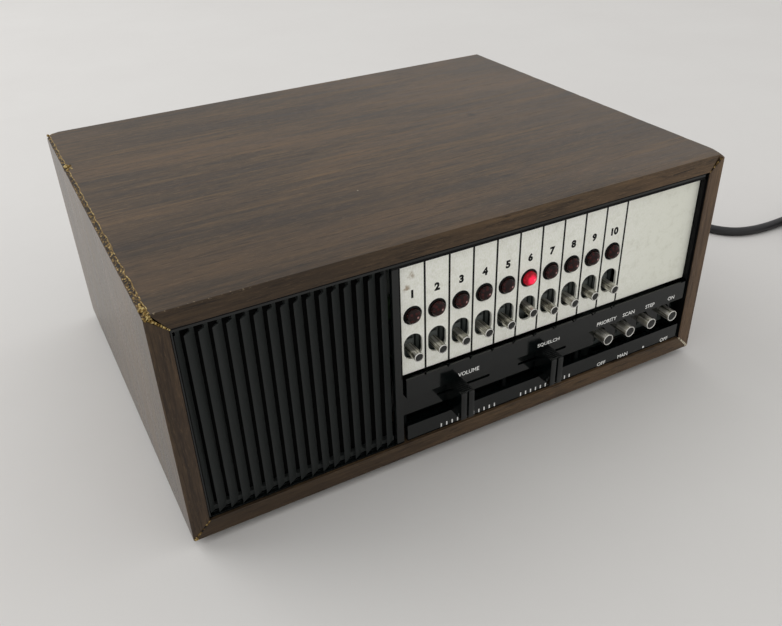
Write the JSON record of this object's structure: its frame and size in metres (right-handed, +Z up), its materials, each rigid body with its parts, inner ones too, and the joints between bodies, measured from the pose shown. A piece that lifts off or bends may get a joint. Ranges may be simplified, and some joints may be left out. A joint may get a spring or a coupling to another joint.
{
  "type": "police scanner radio",
  "caption": "Table-top crystal scanner radio in a wood-veneer cabinet with louvred speaker, channel switches with lamps, slide controls and a mains cord.",
  "frame": {"origin": "centre of the underside of the feet, on the surface that the radio stands on, under the middle of the cabinet and its controls", "axes": "+X towards the right of the front panel, +Y from the front panel to the back, +Z up"},
  "size_m": [0.504, 0.3241, 0.1116],
  "materials": {
    "walnut_veneer": "satin oiled veneer, grey-brown, worn at the mitres",
    "foot_rubber": "matte moulded rubber",
    "black_plastic": "semi-gloss black moulding with a faint texture",
    "rear_board": "matte black pressed board",
    "silver_plate": "satin silver anodised plate with black lines",
    "red_lens": "polished dark red lens, unlit",
    "lit_lens": "polished red lens, lit from behind",
    "satin_lever_metal": "turned satin metal",
    "switch_plastic": "dark grey moulded switch bodies",
    "sheet_steel": "plated sheet steel",
    "circuit_board": "green laminate with components",
    "speaker_paper": "pressed black paper cone",
    "ferrite_magnet": "dull ferrite",
    "transformer_iron": "varnished laminations",
    "capacitor_sleeve": "blue shrink sleeve",
    "jack_metal": "nickel-plated brass",
    "cord_jacket": "black flexible cord jacket"
  },
  "bodies": {
    "cabinet": {"cabinet_top": "walnut_veneer", "cabinet_bottom": "walnut_veneer", "cabinet_left_side": "walnut_veneer", "cabinet_right_side": "walnut_veneer", "foot_front_left": "foot_rubber", "foot_front_right": "foot_rubber", "foot_rear_left": "foot_rubber", "foot_rear_right": "foot_rubber", "front_moulding": "black_plastic", "speaker_grille": "black_plastic", "control_panel": "black_plastic", "channel_faceplate": "silver_plate", "lamp_lens_1": "red_lens", "lamp_lens_2": "red_lens", "lamp_lens_3": "red_lens", "lamp_lens_4": "red_lens", "lamp_lens_5": "red_lens", "lamp_lens_6": "lit_lens", "lamp_lens_7": "red_lens", "lamp_lens_8": "red_lens", "lamp_lens_9": "red_lens", "lamp_lens_10": "red_lens", "channel_switch_bank": "switch_plastic", "lamp_board": "circuit_board", "function_switch_bank": "switch_plastic", "volume_slide_pot": "sheet_steel", "squelch_slide_pot": "sheet_steel", "speaker_frame": "sheet_steel", "speaker_cone": "speaker_paper", "speaker_magnet": "ferrite_magnet", "chassis": "sheet_steel", "main_circuit_board": "circuit_board", "crystal_board": "circuit_board", "power_transformer": "transformer_iron", "filter_capacitor": "capacitor_sleeve", "rear_panel": "rear_board", "antenna_jack": "jack_metal", "external_speaker_jack": "jack_metal", "dc_power_jack": "jack_metal", "strain_relief": "cord_jacket", "mains_cord_run": "cord_jacket", "mains_cord_coil": "cord_jacket", "mains_cord_tail": "cord_jacket", "mains_plug": "cord_jacket"},
    "channel_lever_1": {"channel_knob_1": "satin_lever_metal"},
    "channel_lever_2": {"channel_knob_2": "satin_lever_metal"},
    "channel_lever_3": {"channel_knob_3": "satin_lever_metal"},
    "channel_lever_4": {"channel_knob_4": "satin_lever_metal"},
    "channel_lever_5": {"channel_knob_5": "satin_lever_metal"},
    "channel_lever_6": {"channel_knob_6": "satin_lever_metal"},
    "channel_lever_7": {"channel_knob_7": "satin_lever_metal"},
    "channel_lever_8": {"channel_knob_8": "satin_lever_metal"},
    "channel_lever_9": {"channel_knob_9": "satin_lever_metal"},
    "channel_lever_10": {"channel_knob_10": "satin_lever_metal"},
    "priority_lever": {"priority_knob": "satin_lever_metal"},
    "scan_manual_lever": {"scan_manual_knob": "satin_lever_metal"},
    "step_lever": {"step_knob": "satin_lever_metal"},
    "power_lever": {"power_knob": "satin_lever_metal"},
    "volume_handle": {"volume_knob": "black_plastic"},
    "squelch_handle": {"squelch_knob": "black_plastic"}
  },
  "joints": [
    {"name": "channel_1_switch", "type": "slide", "parent": "cabinet", "child": "channel_lever_1", "axis": [0, 0, 1], "range_m": [0, 0.0025]},
    {"name": "channel_2_switch", "type": "slide", "parent": "cabinet", "child": "channel_lever_2", "axis": [0, 0, 1], "range_m": [0, 0.0025]},
    {"name": "channel_3_switch", "type": "slide", "parent": "cabinet", "child": "channel_lever_3", "axis": [0, 0, 1], "range_m": [0, 0.0025]},
    {"name": "channel_4_switch", "type": "slide", "parent": "cabinet", "child": "channel_lever_4", "axis": [0, 0, 1], "range_m": [0, 0.0025]},
    {"name": "channel_5_switch", "type": "slide", "parent": "cabinet", "child": "channel_lever_5", "axis": [0, 0, 1], "range_m": [0, 0.0025]},
    {"name": "channel_6_switch", "type": "slide", "parent": "cabinet", "child": "channel_lever_6", "axis": [0, 0, 1], "range_m": [-0.0025, 0]},
    {"name": "channel_7_switch", "type": "slide", "parent": "cabinet", "child": "channel_lever_7", "axis": [0, 0, 1], "range_m": [0, 0.0025]},
    {"name": "channel_8_switch", "type": "slide", "parent": "cabinet", "child": "channel_lever_8", "axis": [0, 0, 1], "range_m": [0, 0.0025]},
    {"name": "channel_9_switch", "type": "slide", "parent": "cabinet", "child": "channel_lever_9", "axis": [0, 0, 1], "range_m": [0, 0.0025]},
    {"name": "channel_10_switch", "type": "slide", "parent": "cabinet", "child": "channel_lever_10", "axis": [0, 0, 1], "range_m": [0, 0.0025]},
    {"name": "priority_switch", "type": "slide", "parent": "cabinet", "child": "priority_lever", "axis": [0, 0, 1], "range_m": [-0.0055, 0]},
    {"name": "scan_manual_switch", "type": "slide", "parent": "cabinet", "child": "scan_manual_lever", "axis": [0, 0, 1], "range_m": [-0.0055, 0]},
    {"name": "power_switch", "type": "slide", "parent": "cabinet", "child": "power_lever", "axis": [0, 0, 1], "range_m": [-0.0055, 0]},
    {"name": "step_switch", "type": "slide", "parent": "cabinet", "child": "step_lever", "axis": [0, 0, 1], "range_m": [-0.0055, 0], "stiffness_N_per_m": 120, "springref_m": 0.003},
    {"name": "volume_slide", "type": "slide", "parent": "cabinet", "child": "volume_handle", "axis": [1, 0, 0], "range_m": [-0.007, 0.019]},
    {"name": "squelch_slide", "type": "slide", "parent": "cabinet", "child": "squelch_handle", "axis": [1, 0, 0], "range_m": [-0.0116, 0.0145]}
  ]
}
